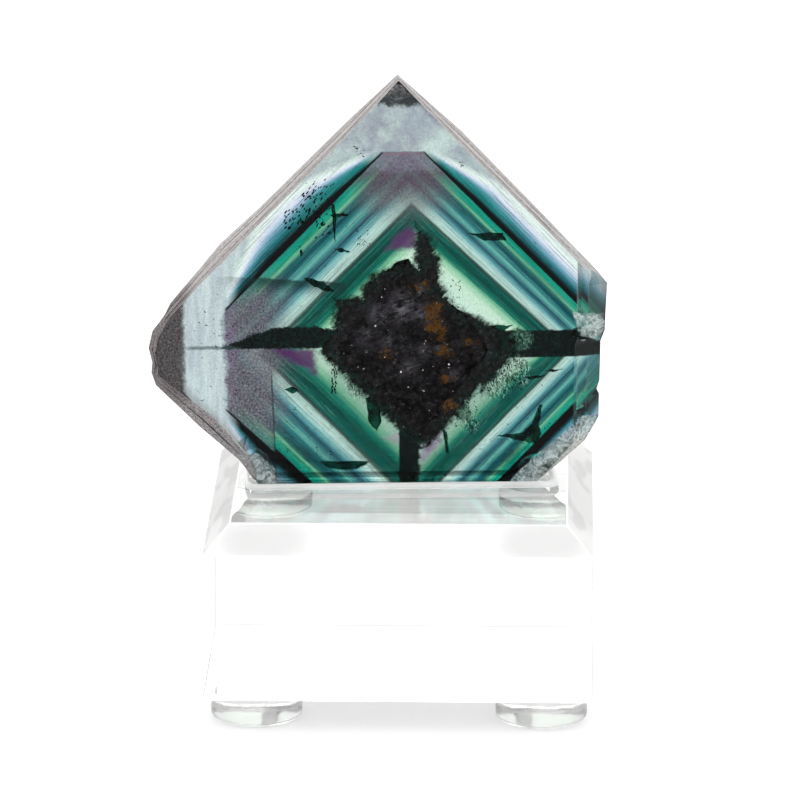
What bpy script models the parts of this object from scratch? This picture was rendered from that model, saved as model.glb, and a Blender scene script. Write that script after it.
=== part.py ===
"""A sawn and polished slice of colour-zoned fluorite standing on a clear acrylic block.

Metres, +Z up, the slice's polished front towards -Y. The origin is the middle of the whole
object's box, on the surface that the block's four feet stand on. Run with
blender --background --python part.py, or from the text editor.
"""

import math
import random

import bmesh
import bpy
from mathutils import Vector

MM = 0.001

# Driving dimensions of the stand
BLOCK_SIDE = 55.0 * MM
BLOCK_HEIGHT = 25.0 * MM
BLOCK_BEVEL = 3.8 * MM
BLOCK_EDGE_BREAK = 0.15 * MM
BLOCK_CENTRE_X = 3.45 * MM
FOOT_DIAMETER = 13.0 * MM
FOOT_HEIGHT = 4.4 * MM
FOOT_EDGE_ROUNDING = 0.9 * MM
FOOT_INSET = 0.8 * MM
FOOT_SEGMENTS = 48
GLUE_THICKNESS = 1.0 * MM
TOUCH_GAP = 0.3 * MM

# Driving dimensions of the slice
SLICE_THICKNESS = 7.0 * MM
SLICE_TURN = math.radians(3.6)
SLICE_BASE = (2.91 * MM, -6.1 * MM)
WIDEST_DEPTH = 3.3 * MM
LEDGE_DEPTHS = (0.8 * MM, 1.9 * MM, 4.4 * MM, 5.6 * MM)
LEDGE_STEP = 0.09 * MM
TIP_ROUGHNESS = 0.16 * MM
ROUGH_SEED = 12

# The slice's outline in millimetres, clockwise from the apex as seen from the front, with the
# height counted from the sawn base: name, widest outline, how far the front face's corner lies
# from it, how far the back face's corner does, and whether the side that starts there is natural
OUTLINE = (
    ("apex", (0.2, 58.9), (-0.05, -0.15), (0.05, -0.8), True),
    ("right_slope", (9.4, 49.5), (-0.25, -0.3), (0.0, 0.3), True),
    ("right_slope_low", (20.5, 38.1), (-0.2, -0.3), (0.0, 0.0), True),
    ("right_shoulder", (29.0, 29.5), (-2.8, 2.2), (0.0, -0.5), True),
    ("right_edge_top", (30.0, 28.3), (-3.8, 0.3), (-0.2, -0.6), True),
    ("right_edge", (29.8, 24.3), (-3.8, 0.0), (-0.6, 0.0), True),
    ("right_step_top", (29.7, 21.4), (-3.9, 0.4), (-0.9, 0.0), True),
    ("right_step_base", (29.1, 19.8), (-3.9, 0.1), (-0.7, 0.0), True),
    ("right_lower_edge", (29.0, 14.0), (-3.9, 0.0), (-0.4, 0.0), True),
    ("right_notch", (28.6, 12.7), (-3.5, 0.0), (-0.3, 0.0), True),
    ("right_notch_base", (28.95, 12.0), (-3.9, 0.0), (-0.5, 0.0), True),
    ("right_corner_top", (28.9, 8.6), (-3.8, 0.3), (-0.6, 0.0), True),
    ("right_corner_base", (28.3, 7.4), (-2.9, 0.4), (-0.8, 0.3), True),
    ("lower_right_slope", (26.9, 5.0), (-1.8, 0.6), (-0.9, 0.5), True),
    ("base_right", (21.3, 0.0), (-1.35, 0.0), (-1.0, 0.0), False),
    ("base_left", (-20.7, 0.0), (0.75, 0.0), (0.5, 0.0), True),
    ("lower_left_knee", (-22.6, 2.7), (1.9, 0.9), (0.9, 0.3), True),
    ("lower_left_slope", (-28.1, 7.6), (2.2, 2.1), (1.3, 0.9), True),
    ("left_tip_base", (-34.4, 13.9), (1.1, 1.5), (1.7, 0.8), True),
    ("left_tip_lower", (-35.1, 15.7), (0.9, 0.6), (1.5, 0.3), True),
    ("left_notch", (-34.85, 17.3), (0.8, 0.1), (1.4, 0.0), True),
    ("left_tip", (-35.4, 19.4), (0.9, 0.0), (1.5, 0.0), True),
    ("left_tip_upper", (-34.9, 21.9), (0.8, -0.2), (1.0, -0.4), True),
    ("left_shoulder", (-32.4, 24.9), (0.1, -0.2), (0.2, 0.1), True),
    ("left_slope_low", (-28.0, 30.0), (0.15, -0.4), (0.05, 0.1), True),
    ("left_slope_step", (-24.9, 33.4), (0.3, -0.6), (-0.1, 0.3), True),
    ("left_slope", (-19.4, 38.7), (0.1, -0.3), (-0.1, 0.1), True),
    ("left_slope_high", (-6.8, 51.5), (0.1, -0.25), (0.0, 0.0), True),
)
ROUGH_TIP_CORNERS = ("left_tip_base", "left_tip_lower", "left_notch", "left_tip", "left_tip_upper")

# The dark crystal core in millimetres: the rough diamond that it fills on both faces, whose
# surface is left lumpy where the fluorite around it took a polish
CORE_CENTRE = (2.0, 19.6)
CORE_REACH = {"left": 11.0, "right": 11.4, "up": 14.0, "down": 14.0}
CORE_CORNER_ROUNDING = 0.04
CORE_CELLS = 16
CORE_DEPTH_RANGE = (0.08, 1.0)
CORE_RAGGEDNESS = 0.36

# Shell-shaped chips broken out of the front rim in millimetres: name, middle along the face,
# middle's height, depth of the middle (negative is in front of the face), and the three radii
CHIPS = (
    ("chip_lower_left", (-20.4, 2.6), -0.5, (2.6, 1.3, 3.0)),
    ("chip_lower_right", (20.6, 2.2), -0.3, (3.6, 1.3, 2.1)),
    ("chip_right_corner", (26.9, 9.1), 0.6, (1.9, 1.4, 2.3)),
    ("chip_right_step", (27.2, 21.6), 0.9, (2.6, 1.3, 1.3)),
    ("chip_apex", (0.1, 57.3), -0.5, (1.9, 0.95, 1.7)),
)
CHIP_SUBDIVISIONS = 2


def clear_scene():
    """Removes every object, so the file holds only this part."""
    for thing in list(bpy.data.objects):
        bpy.data.objects.remove(thing, do_unlink=True)


def make_material(name, colour, roughness, transmission, ior):
    """Returns a Principled material with the piece's own colour and clarity."""
    material = bpy.data.materials.new(name)
    material.use_nodes = True
    shader = material.node_tree.nodes["Principled BSDF"]
    shader.inputs["Base Color"].default_value = (*colour, 1.0)
    shader.inputs["Roughness"].default_value = roughness
    shader.inputs["Metallic"].default_value = 0.0
    shader.inputs["Transmission Weight"].default_value = transmission
    shader.inputs["IOR"].default_value = ior
    return material


def make_object(name, mesh_builder, material, smooth_angle=None):
    """Turns a bmesh into a named object, with its faces outwards, and links it."""
    bmesh.ops.recalc_face_normals(mesh_builder, faces=mesh_builder.faces)
    mesh = bpy.data.meshes.new(name)
    mesh_builder.to_mesh(mesh)
    mesh_builder.free()
    if smooth_angle is not None:
        mesh.shade_smooth()
        mesh.set_sharp_from_angle(angle=smooth_angle)
    thing = bpy.data.objects.new(name, mesh)
    thing.data.materials.append(material)
    bpy.context.scene.collection.objects.link(thing)
    return thing


def make_block(material):
    """The acrylic block: square in plan, with one wide 45 degree bevel round its top."""
    shape = bmesh.new()
    bmesh.ops.create_cube(shape, size=1.0)
    bmesh.ops.scale(shape, vec=(BLOCK_SIDE, BLOCK_SIDE, BLOCK_HEIGHT), verts=shape.verts)
    top_edges = [e for e in shape.edges if all(v.co.z > 0.0 for v in e.verts)]
    bmesh.ops.bevel(
        shape, geom=top_edges, offset=BLOCK_BEVEL, segments=1, profile=0.5, affect="EDGES", material=-1
    )
    block = make_object("acrylic_block", shape, material)
    block.location = (BLOCK_CENTRE_X, 0.0, FOOT_HEIGHT + BLOCK_HEIGHT / 2)
    edge_break = block.modifiers.new("edge break", "BEVEL")
    edge_break.width = BLOCK_EDGE_BREAK
    edge_break.segments = 1
    edge_break.limit_method = "ANGLE"
    edge_break.angle_limit = math.radians(30.0)
    return block


def foot_profile():
    """Half of the foot's section, from its top centre out and down to its underside."""
    radius = FOOT_DIAMETER / 2
    top = FOOT_HEIGHT - TOUCH_GAP
    top_break = FOOT_EDGE_ROUNDING / 4
    points = [(0.0, top), (radius - top_break, top), (radius, top - top_break)]
    for step in range(6):
        turn = math.radians(90.0) * step / 5
        across = radius - FOOT_EDGE_ROUNDING * (1 - math.cos(turn))
        points.append((across, FOOT_EDGE_ROUNDING * (1 - math.sin(turn))))
    points.append((0.0, 0.0))
    return points


def make_foot(name, side_x, side_y, material):
    """One round clear foot, turned from its profile, under one corner of the block."""
    shape = bmesh.new()
    ring = [shape.verts.new((across, 0.0, height)) for across, height in foot_profile()]
    edges = [shape.edges.new(pair) for pair in zip(ring, ring[1:])]
    bmesh.ops.spin(
        shape, geom=ring + edges, cent=(0, 0, 0), axis=(0, 0, 1),
        angle=math.tau, steps=FOOT_SEGMENTS, use_merge=True,
    )
    bmesh.ops.remove_doubles(shape, verts=shape.verts, dist=0.001 * MM)
    foot = make_object(name, shape, material, smooth_angle=math.radians(30.0))
    reach = BLOCK_SIDE / 2 - FOOT_INSET - FOOT_DIAMETER / 2
    foot.location = (BLOCK_CENTRE_X + side_x * reach, side_y * reach, 0.0)
    return foot


def outline_ring(depth, ledge, rng):
    """The slice's outline at one depth, as points: straight between the front, widest and back
    outlines, with the natural corners stepped inwards by a ledge and the left tip roughened."""
    points = []
    for name, widest, to_front, to_back, natural in OUTLINE:
        if depth <= WIDEST_DEPTH:
            share = 1.0 - depth / WIDEST_DEPTH
            shift = to_front
        else:
            share = (depth - WIDEST_DEPTH) / (SLICE_THICKNESS - WIDEST_DEPTH)
            shift = to_back
        across = (widest[0] + shift[0] * share) * MM
        height = (widest[1] + shift[1] * share) * MM
        inwards = Vector((-across, SLICE_THICKNESS * 2.8 - height)).normalized()
        if natural and ledge:
            across += inwards.x * ledge
            height += inwards.y * ledge
        if name in ROUGH_TIP_CORNERS:
            across += rng.uniform(-0.2, 1.0) * TIP_ROUGHNESS
            height += rng.uniform(-0.5, 0.5) * TIP_ROUGHNESS
        points.append(Vector((across, depth, height)))
    return points


def slice_body():
    """The slice as one closed mesh: front face, natural and sawn sides with thin growth ledges
    that run along them, and back face."""
    rng = random.Random(ROUGH_SEED)
    depths = [(0.0, 0.0)]
    for number, depth in enumerate(LEDGE_DEPTHS[:2]):
        depths.append((depth, LEDGE_STEP * (1 + number % 2)))
        depths.append((depth + LEDGE_STEP, 0.0))
    depths.append((WIDEST_DEPTH, 0.0))
    for number, depth in enumerate(LEDGE_DEPTHS[2:]):
        depths.append((depth, LEDGE_STEP * (2 - number % 2)))
        depths.append((depth + LEDGE_STEP, 0.0))
    depths.append((SLICE_THICKNESS, 0.0))
    shape = bmesh.new()
    rings = [[shape.verts.new(p) for p in outline_ring(d, ledge, rng)] for d, ledge in depths]
    count = len(OUTLINE)
    for near, far in zip(rings, rings[1:]):
        for start in range(count):
            end = (start + 1) % count
            shape.faces.new((near[start], near[end], far[end], far[start]))
    shape.faces.new(rings[0])
    shape.faces.new(reversed(rings[-1]))
    shape.normal_update()
    bmesh.ops.triangulate(shape, faces=shape.faces)
    return shape


def core_point(along, over):
    """Turns a place in a square, from -1 to 1 both ways, into one in the core's rough diamond,
    whose four corners are a little blunt."""
    right, up = (along - over) / 2, (along + over) / 2
    blunt = 1.0 - CORE_CORNER_ROUNDING * (abs(right) - abs(up)) ** 2
    across = right * blunt * CORE_REACH["right" if right > 0 else "left"]
    height = up * blunt * CORE_REACH["up" if up > 0 else "down"]
    return CORE_CENTRE[0] + across, CORE_CENTRE[1] + height


def core_cutter(name, face_depth, outwards, seed):
    """A plug over the core on one face, whose inner end is an uneven, lumpy surface."""
    rng = random.Random(seed)
    shape = bmesh.new()
    bmesh.ops.create_grid(shape, x_segments=CORE_CELLS, y_segments=CORE_CELLS, size=1.0)
    wander = 2.0 / CORE_CELLS * CORE_RAGGEDNESS
    for vert in shape.verts:
        along = vert.co.x + rng.uniform(-wander, wander)
        over = vert.co.y + rng.uniform(-wander, wander)
        across, height = core_point(along, over)
        sink = rng.uniform(*CORE_DEPTH_RANGE)
        vert.co = (across * MM, face_depth - outwards * sink * MM, height * MM)
    shape.normal_update()
    bmesh.ops.triangulate(shape, faces=shape.faces)
    plug = bmesh.ops.extrude_face_region(shape, geom=list(shape.faces))
    for vert in (v for v in plug["geom"] if isinstance(v, bmesh.types.BMVert)):
        vert.co.y = face_depth + outwards * MM
    return cutter_object(name, shape)


def cutter_object(name, shape):
    """Keeps a cutting shape out of the part: wire only, and hidden from renders."""
    bmesh.ops.recalc_face_normals(shape, faces=shape.faces)
    mesh = bpy.data.meshes.new(name)
    shape.to_mesh(mesh)
    shape.free()
    cutter = bpy.data.objects.new(name, mesh)
    cutter.display_type = "WIRE"
    cutter.hide_render = True
    bpy.context.scene.collection.objects.link(cutter)
    return cutter


def chip_cutter(name, middle, depth, radii):
    """A rounded scoop that breaks a shell-shaped chip out of the front rim."""
    shape = bmesh.new()
    bmesh.ops.create_icosphere(shape, subdivisions=CHIP_SUBDIVISIONS, radius=1.0)
    bmesh.ops.scale(shape, vec=[r * MM for r in radii], verts=shape.verts)
    bmesh.ops.translate(shape, vec=(middle[0] * MM, depth * MM, middle[1] * MM), verts=shape.verts)
    return cutter_object(name, shape)


def make_slice(material):
    """The fluorite slice, turned a little on the block, with its core and chips cut in."""
    body = make_object("fluorite_slice", slice_body(), material)
    cutters = [
        core_cutter("core_front", 0.0, -1, ROUGH_SEED + 1),
        core_cutter("core_back", SLICE_THICKNESS, 1, ROUGH_SEED + 2),
    ]
    cutters += [chip_cutter(*chip) for chip in CHIPS]
    body.location = (*SLICE_BASE, FOOT_HEIGHT + BLOCK_HEIGHT + GLUE_THICKNESS)
    body.rotation_euler = (0.0, 0.0, SLICE_TURN)
    for cutter in cutters:
        cutter.parent = body
        cut = body.modifiers.new(cutter.name, "BOOLEAN")
        cut.object = cutter
        cut.operation = "DIFFERENCE"
        cut.solver = "EXACT"
    return body


def glue_outline(clearance, end_clearance):
    """The plan of the glue line round the slice's sawn foot, as (across, depth) points."""
    left, right = -20.7 * MM - clearance, 21.3 * MM + end_clearance
    front, back = -clearance, SLICE_THICKNESS + clearance
    corner = 1.6 * MM
    points = []
    for middle_x, middle_y, start in (
        (right - corner, back - corner, 0.0),
        (left + corner, back - corner, 90.0),
        (left + corner, front + corner, 180.0),
        (right - corner, front + corner, 270.0),
    ):
        for step in range(5):
            turn = math.radians(start + 90.0 * step / 4)
            points.append((middle_x + corner * math.cos(turn), middle_y + corner * math.sin(turn)))
    return points


def make_glue(material):
    """The clear glue line: a thin pad under the slice with a raised lip squeezed out round it."""
    low = TOUCH_GAP
    pad_top = GLUE_THICKNESS - TOUCH_GAP
    lip_top = GLUE_THICKNESS + 0.15 * MM
    rows = (
        (0.95 * MM, 1.75 * MM, low),
        (1.05 * MM, 1.85 * MM, low + 0.25 * MM),
        (0.85 * MM, 1.65 * MM, lip_top - 0.15 * MM),
        (0.65 * MM, 1.30 * MM, lip_top),
        (0.45 * MM, 0.70 * MM, lip_top - 0.10 * MM),
        (0.40 * MM, 0.60 * MM, pad_top),
    )
    shape = bmesh.new()
    rings = []
    for clearance, end_clearance, height in rows:
        plan = glue_outline(clearance, end_clearance)
        rings.append([shape.verts.new((x, y, height)) for x, y in plan])
    count = len(rings[0])
    for lower, upper in zip(rings, rings[1:]):
        for start in range(count):
            end = (start + 1) % count
            shape.faces.new((lower[start], lower[end], upper[end], upper[start]))
    shape.faces.new(reversed(rings[0]))
    shape.faces.new(rings[-1])
    glue = make_object("glue_line", shape, material, smooth_angle=math.radians(50.0))
    glue.location = (*SLICE_BASE, FOOT_HEIGHT + BLOCK_HEIGHT)
    glue.rotation_euler = (0.0, 0.0, SLICE_TURN)
    return glue


def main():
    clear_scene()
    acrylic = make_material("clear acrylic", (0.97, 0.98, 0.97), 0.02, 1.0, 1.49)
    bumper = make_material("clear soft plastic", (0.95, 0.96, 0.96), 0.06, 1.0, 1.47)
    fluorite = make_material("zoned fluorite", (0.16, 0.45, 0.42), 0.05, 0.9, 1.434)
    glue = make_material("clear glue", (0.93, 0.94, 0.94), 0.15, 0.9, 1.45)
    make_block(acrylic)
    for name, side_x, side_y in (
        ("foot_front_left", -1, -1),
        ("foot_front_right", 1, -1),
        ("foot_back_left", -1, 1),
        ("foot_back_right", 1, 1),
    ):
        make_foot(name, side_x, side_y, bumper)
    make_glue(glue)
    make_slice(fluorite)


main()
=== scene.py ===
"""A colour-zoned slice of fluorite on its clear acrylic block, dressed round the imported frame."""

import math
import random
from functools import reduce

import bmesh
import bpy
from bpy.props import FloatProperty, FloatVectorProperty, IntProperty, PointerProperty
from mathutils import Matrix, Vector, noise


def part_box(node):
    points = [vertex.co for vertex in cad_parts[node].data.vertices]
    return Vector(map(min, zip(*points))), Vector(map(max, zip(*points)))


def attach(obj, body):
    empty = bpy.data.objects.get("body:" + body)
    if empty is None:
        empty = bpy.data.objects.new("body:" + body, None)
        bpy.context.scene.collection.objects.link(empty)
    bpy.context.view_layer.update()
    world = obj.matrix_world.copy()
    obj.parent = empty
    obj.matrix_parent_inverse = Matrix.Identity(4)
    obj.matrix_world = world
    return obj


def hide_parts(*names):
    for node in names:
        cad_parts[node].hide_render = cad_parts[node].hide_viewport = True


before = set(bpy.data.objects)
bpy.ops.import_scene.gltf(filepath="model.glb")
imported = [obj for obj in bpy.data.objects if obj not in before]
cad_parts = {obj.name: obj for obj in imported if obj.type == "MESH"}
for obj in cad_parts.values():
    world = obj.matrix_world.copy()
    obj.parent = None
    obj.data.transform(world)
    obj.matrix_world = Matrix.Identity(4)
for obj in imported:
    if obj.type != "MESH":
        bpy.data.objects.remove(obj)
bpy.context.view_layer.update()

bl_info = {
    "name": "Fluorite slice on stand",
    "version": (1, 0, 0),
    "blender": (4, 5, 0),
    "location": "3D View > Sidebar > Fluorite",
    "description": "Dresses a zoned fluorite slice, its clear block, glue and feet, and lights them",
    "category": "Object",
}

MM = 0.001
BODY = "root"
FEET = ("foot_front_left", "foot_front_right", "foot_back_left", "foot_back_right")

# The stage, in metres: the size and place of the two soft panels, and how far the floor lies under
# the feet
OVERHEAD_PANEL = ((0.6, 0.4), (0.0, 0.05, 0.75))
BACKDROP_PANEL = ((1.8, 0.8), (0.0, 1.3, 0.42))
FLOOR_GAP = 0.02 * MM

# The stand: what thick acrylic lets through, how wide a foot's bonded joint is as a share of the
# foot, and how its lower edge is rounded
ACRYLIC_LIGHT = (0.958, 0.963, 0.958)
FOOT_JOINT = 0.955
FOOT_ROUNDING = 0.9 * MM
ROUNDING_STEPS = 8
# A face lies level when its normal points at least this far up or down
LEVEL = 0.99

# Material slots: on the block, whose sides come first, and on the slice
BOND, TOP, BEVEL, EDGE = range(1, 5)
POLISHED, SKIN, ROUGH, BASE = range(4)

CAD_BLOCK_MIDDLE = (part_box("acrylic_block")[0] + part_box("acrylic_block")[1]) / 2

# Where the slice stands: the middle of its sawn base on its front face, and its turn on the block
SLICE_BASE = Vector((2.91, -6.1, 30.4)) * MM
SLICE_TURN = math.radians(3.6)
SLICE_THICKNESS = 7.0
# The growth ledges on the slice's front half: how deep they lie and how far they step in
GROWTH_LEDGES = ((0.8, 0.09), (1.9, 0.18))

# The colour zones lean and narrow through the slice: for each millimetre of depth a zone drops by
# ZONE_LEAN, less ZONE_SPREAD for each millimetre of height, and moves right by ZONE_DRIFT, more
# ZONE_SPREAD for each millimetre across
ZONE_LEAN = 0.193
ZONE_DRIFT = 0.027
ZONE_SPREAD = 0.00073

# All places on the slice are (across, height) in millimetres on its front face, with the height
# counted from the sawn base. The four sides of the zoning: the line where the inner diamond
# starts, and the line where the black band starts
ZONE_SIDES = {
    "upper_left": (((-1.4, 37.5), (-13.85, 24.8)), ((-2.1, 48.3), (-24.5, 25.5))),
    "upper_right": (((6.37, 36.72), (20.92, 22.82)), ((3.8, 48.2), (25.8, 25.8))),
    "lower_left": (((-18.0, 17.5), (-1.0, 0.2)), ((-19.3, 7.0), (-12.0, 0.0))),
    "lower_right": (((22.3, 16.9), (7.0, 1.1)), ((24.8, 11.1), (14.4, 0.2))),
}
ZONE_MIDDLE = (1.2, 20.0)
TOP_CUT = 48.5
LEFT_CUT = -24.5
CRACK = ((-18.0, 17.0), (-17.35, 0.0))
FACET_EDGE = 25.6
THREAD_HEIGHT = 20.15
APEX_CRUST = ((0.2, 59.6), (3.6, 55.6), (1.4, 55.0), (-2.8, 55.5))

# Polished faces are turned at least this squarely to the front or back, or lie on the facet at the
# right, which starts at FACET_LEFT, or on the chips right of CHIP_LEFT and under FACET_LOW
SQUARE_ON = 0.93
FACET_LEFT = 24.3
FACET_LOW = 8.0
FACET_HIGH = 35.0
CHIP_LEFT = 14.0
# The growth ledges right of LEDGES_END are taken off: they step in towards the height LEDGES_CENTRE
LEDGES_END = 24.0
LEDGES_CENTRE = 19.6

# The zone colours from the core out: how far from the inner diamond (0) to the black band (1)
ZONE_STOPS = (
    (-1.00, (0.78, 0.90, 0.84)),
    (-0.62, (0.76, 0.89, 0.80)),
    (-0.46, (0.52, 0.78, 0.63)),
    (-0.37, (0.06, 0.47, 0.39)),
    (-0.22, (0.03, 0.29, 0.26)),
    (-0.12, (0.03, 0.34, 0.30)),
    (-0.07, (0.06, 0.38, 0.34)),
    (-0.03, (0.17, 0.28, 0.26)),
    (0.00, (0.26, 0.36, 0.34)),
    (0.035, (0.66, 0.80, 0.76)),
    (0.14, (0.72, 0.85, 0.82)),
    (0.22, (0.55, 0.77, 0.76)),
    (0.31, (0.25, 0.53, 0.57)),
    (0.37, (0.14, 0.29, 0.35)),
    (0.44, (0.25, 0.53, 0.54)),
    (0.51, (0.40, 0.68, 0.64)),
    (0.58, (0.15, 0.48, 0.49)),
    (0.67, (0.07, 0.29, 0.33)),
    (0.76, (0.14, 0.43, 0.41)),
    (0.82, (0.45, 0.72, 0.58)),
    (0.855, (0.18, 0.60, 0.48)),
    (0.90, (0.06, 0.61, 0.51)),
    (1.00, (0.07, 0.55, 0.48)),
    (1.05, (0.03, 0.16, 0.18)),
    (1.13, (0.05, 0.22, 0.24)),
    (1.22, (0.11, 0.40, 0.43)),
    (1.31, (0.32, 0.58, 0.65)),
    (1.40, (0.60, 0.73, 0.82)),
    (1.49, (0.86, 0.90, 0.96)),
    (1.62, (0.91, 0.97, 0.95)),
    (1.80, (0.85, 0.92, 0.90)),
    (2.00, (0.70, 0.78, 0.76)),
)
BAND_WIDTH = 0.105

# The rough dark core: convex outlines that overlap, and the leaf that stands out of it
CORE_SHAPES = (
    ((1.0, 32.2), (5.3, 30.1), (7.9, 25.6), (7.9, 20.0), (-4.4, 20.0), (-4.9, 28.4), (-3.2, 30.4)),
    (
        (7.9, 25.6), (14.6, 22.1), (14.6, 18.2), (4.4, 5.6), (1.0, 7.6), (-10.8, 19.6), (-8.7, 22.5),
        (-3.0, 27.3),
    ),
    ((-8.6, 26.9), (-3.0, 27.3), (-3.0, 20.0), (-8.8, 20.0)),
    ((3.0, 36.9), (4.5, 35.6), (5.7, 32.0), (5.6, 29.5), (3.4, 29.5), (2.7, 34.0)),
    ((11.0, 15.4), (16.5, 21.0), (16.5, 19.0), (12.0, 14.0)),
)
# The diamond of the core's relief, the shares of it where its faces and its relief end, and how
# deep the relief goes; within its outlines the rough core starts past a rim and fades in
CORE_CENTRE = (2.0, 19.6)
CORE_REACH = (11.4, 14.0)
CORE_EDGE = 1.03
RELIEF_EDGE = 1.06
RELIEF_DEPTH = 1.2
CORE_RIM = 0.8
CORE_FADE = 1.4
# The rough core's grains: the scale of their pattern and their height
CORE_GRAINS = ((1.7, 0.22), (4.1, 0.12))

# The black veins that cross the zones, and the chips at the slice's corners
VEINS = {
    "left wedge": ((-25.0, 20.3), (-17.8, 22.9), (-15.5, 23.2), (-7.0, 22.8), (-7.0, 19.9), (-25.0, 19.95)),
    "right": ((8.0, 22.3), (25.2, 22.3), (28.6, 20.4), (30.0, 19.4), (30.0, 18.4), (8.0, 18.2)),
    "core's lower point": ((0.2, 12.0), (7.8, 11.2), (3.5, 5.6), (0.2, 6.0)),
    "lower": ((0.2, 8.0), (3.4, 8.0), (2.9, -1.0), (0.2, -1.0)),
}
CHIPS = {
    "lower left": ((-25.0, 6.0), (-19.6, 4.3), (-17.5, 2.2), (-17.4, -1.0), (-25.0, -1.0)),
    "lower right": ((15.6, -1.0), (17.0, 1.6), (20.4, 4.4), (25.6, 9.4), (31.0, 9.4), (31.0, -1.0)),
    "right corner": ((24.9, 24.8), (28.8, 24.4), (30.0, 22.6), (28.2, 20.8), (26.0, 21.3)),
}
# Nests of pale and dark needles, and leafy clumps: each one's middle and radius
NEEDLE_NESTS = (
    ((-5.5, 14.2), 2.0), ((16.6, 16.2), 2.8), ((14.0, 14.4), 2.4), ((-7.6, 17.0), 1.2), ((10.4, 8.6), 1.6),
)
LEAFY_CLUMPS = (((9.4, 10.4), 1.3), ((-2.9, 10.6), 1.0), ((17.6, 20.9), 1.6))
# Pale lumps and rust in the core, and the places of violet in the zones with their colours
PALE_LUMPS = (
    ((0.6, 25.8), 2.2), ((-2.6, 24.8), 1.6), ((3.4, 25.0), 1.4), ((1.6, 16.9), 1.1), ((3.8, 19.4), 0.7),
    ((-4.6, 21.6), 1.0), ((8.4, 15.6), 0.8), ((-1.4, 20.8), 0.9),
)
RUST_SPOTS = (
    ((5.7, 23.0), 0.9), ((6.4, 21.2), 0.7), ((6.7, 19.4), 0.8), ((3.3, 28.8), 0.8), ((5.0, 25.8), 0.7),
    ((7.2, 15.2), 0.5), ((10.3, 20.4), 0.4), ((7.4, 11.4), 0.7), ((-1.6, 18.8), 0.3),
)
VIOLETS = (
    (((-17.8, 19.9), (-11.7, 19.9), (-11.7, 16.2), (-15.2, 18.2)), (0.31, 0.12, 0.35), 0.92),
    (((-1.4, 34.4), (-0.1, 36.2), (1.5, 37.7), (2.9, 36.8), (2.8, 34.3)), (0.34, 0.17, 0.37), 0.90),
    (((3.3, 2.9), (3.6, 7.2), (6.6, 7.9), (5.7, 5.4)), (0.60, 0.52, 0.64), 0.85),
    (((-1.6, 6.6), (0.2, 7.4), (0.2, 5.6)), (0.62, 0.55, 0.63), 0.75),
)
# Dark flakes inside the crystal: corners as seen on the front face, and depth
FLAKES = (
    (((-9.35, 41.0), (-8.95, 41.0), (-8.65, 38.6), (-8.85, 35.3), (-9.15, 37.6)), 1.5),
    (((-9.75, 39.45), (-8.9, 39.1), (-6.9, 39.35), (-7.6, 39.7), (-8.8, 39.6)), 1.2),
    (((-9.0, 34.5), (-7.7, 34.55), (-6.7, 34.0), (-7.9, 33.95)), 2.0),
    (((9.97, 36.6), (14.86, 36.57), (15.41, 35.44), (12.3, 35.42)), 1.0),
    (((-11.23, 3.2), (-3.99, 3.15), (-5.6, 2.1), (-7.52, 1.9), (-9.66, 2.2)), 2.0),
    (((14.16, 6.83), (17.62, 7.15), (19.59, 5.53), (17.2, 6.1)), 1.5),
    (
        ((17.62, 7.15), (19.2, 8.6), (20.3, 11.4), (20.7, 11.2), (20.1, 8.2), (20.6, 7.0), (19.59, 5.53)),
        1.5,
    ),
    (((-16.2, 13.9), (-15.0, 14.3), (-13.9, 13.7), (-14.9, 13.3)), 0.8),
    (((-13.5, 30.4), (-12.1, 30.2), (-10.3, 29.5), (-8.9, 28.2), (-10.7, 28.4), (-12.4, 29.4)), 2.2),
    (((6.3, 7.9), (7.0, 7.5), (7.35, 4.2), (6.9, 4.4)), 1.5),
    (((-4.6, 12.6), (-3.2, 12.8), (-2.6, 11.4), (-2.3, 9.2), (-2.9, 7.6), (-4.1, 8.9)), 2.5),
    (((11.6, 22.9), (16.4, 23.1), (15.2, 22.2), (12.0, 22.2)), 1.5),
    (((20.8, 16.4), (23.6, 16.6), (22.2, 16.1)), 0.8),
    (((17.6, 15.4), (21.2, 15.7), (19.0, 15.0)), 0.8),
)

# Swarms of small dark grains: a box of the face, how many, their size and their lean in degrees
SWARMS = (
    ((-16.0, 37.4), (-10.4, 43.4), 120, 0.52, -50.0),
    ((-12.0, 36.0), (-9.0, 45.5), 30, 0.40, -48.0),
    ((-5.8, 35.0), (-3.8, 37.2), 16, 0.30, -60.0),
    ((-13.9, 33.4), (-12.7, 35.0), 5, 0.50, -65.0),
    ((-9.4, 13.2), (-8.6, 19.2), 60, 0.40, 80.0),
    ((8.2, 46.0), (10.2, 47.0), 8, 0.30, 20.0),
    ((-6.4, 47.6), (-4.6, 49.6), 9, 0.34, 30.0),
    ((7.4, 25.6), (9.0, 30.2), 22, 0.30, 70.0),
    ((-29.0, 12.0), (-19.0, 30.0), 34, 0.30, 30.0),
    ((-22.0, 2.0), (24.0, 44.0), 90, 0.17, 30.0),
    ((-16.5, 4.0), (-9.0, 12.0), 26, 0.26, 10.0),
    ((9.0, 2.0), (23.0, 15.0), 34, 0.24, 10.0),
    ((11.8, 13.4), (17.8, 17.8), 60, 0.34, 45.0),
    ((7.6, 8.2), (11.4, 12.0), 50, 0.36, 45.0),
    ((-5.6, 13.4), (-3.0, 16.4), 40, 0.34, -45.0),
    ((21.0, 4.0), (25.5, 9.0), 14, 0.30, 60.0),
)
# Grains keep under the slice's upper edges: the apex of their space, and half its width for each
# millimetre below that
SWARM_APEX = (0.4, 57.4)
SWARM_SPREAD = 0.93


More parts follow.
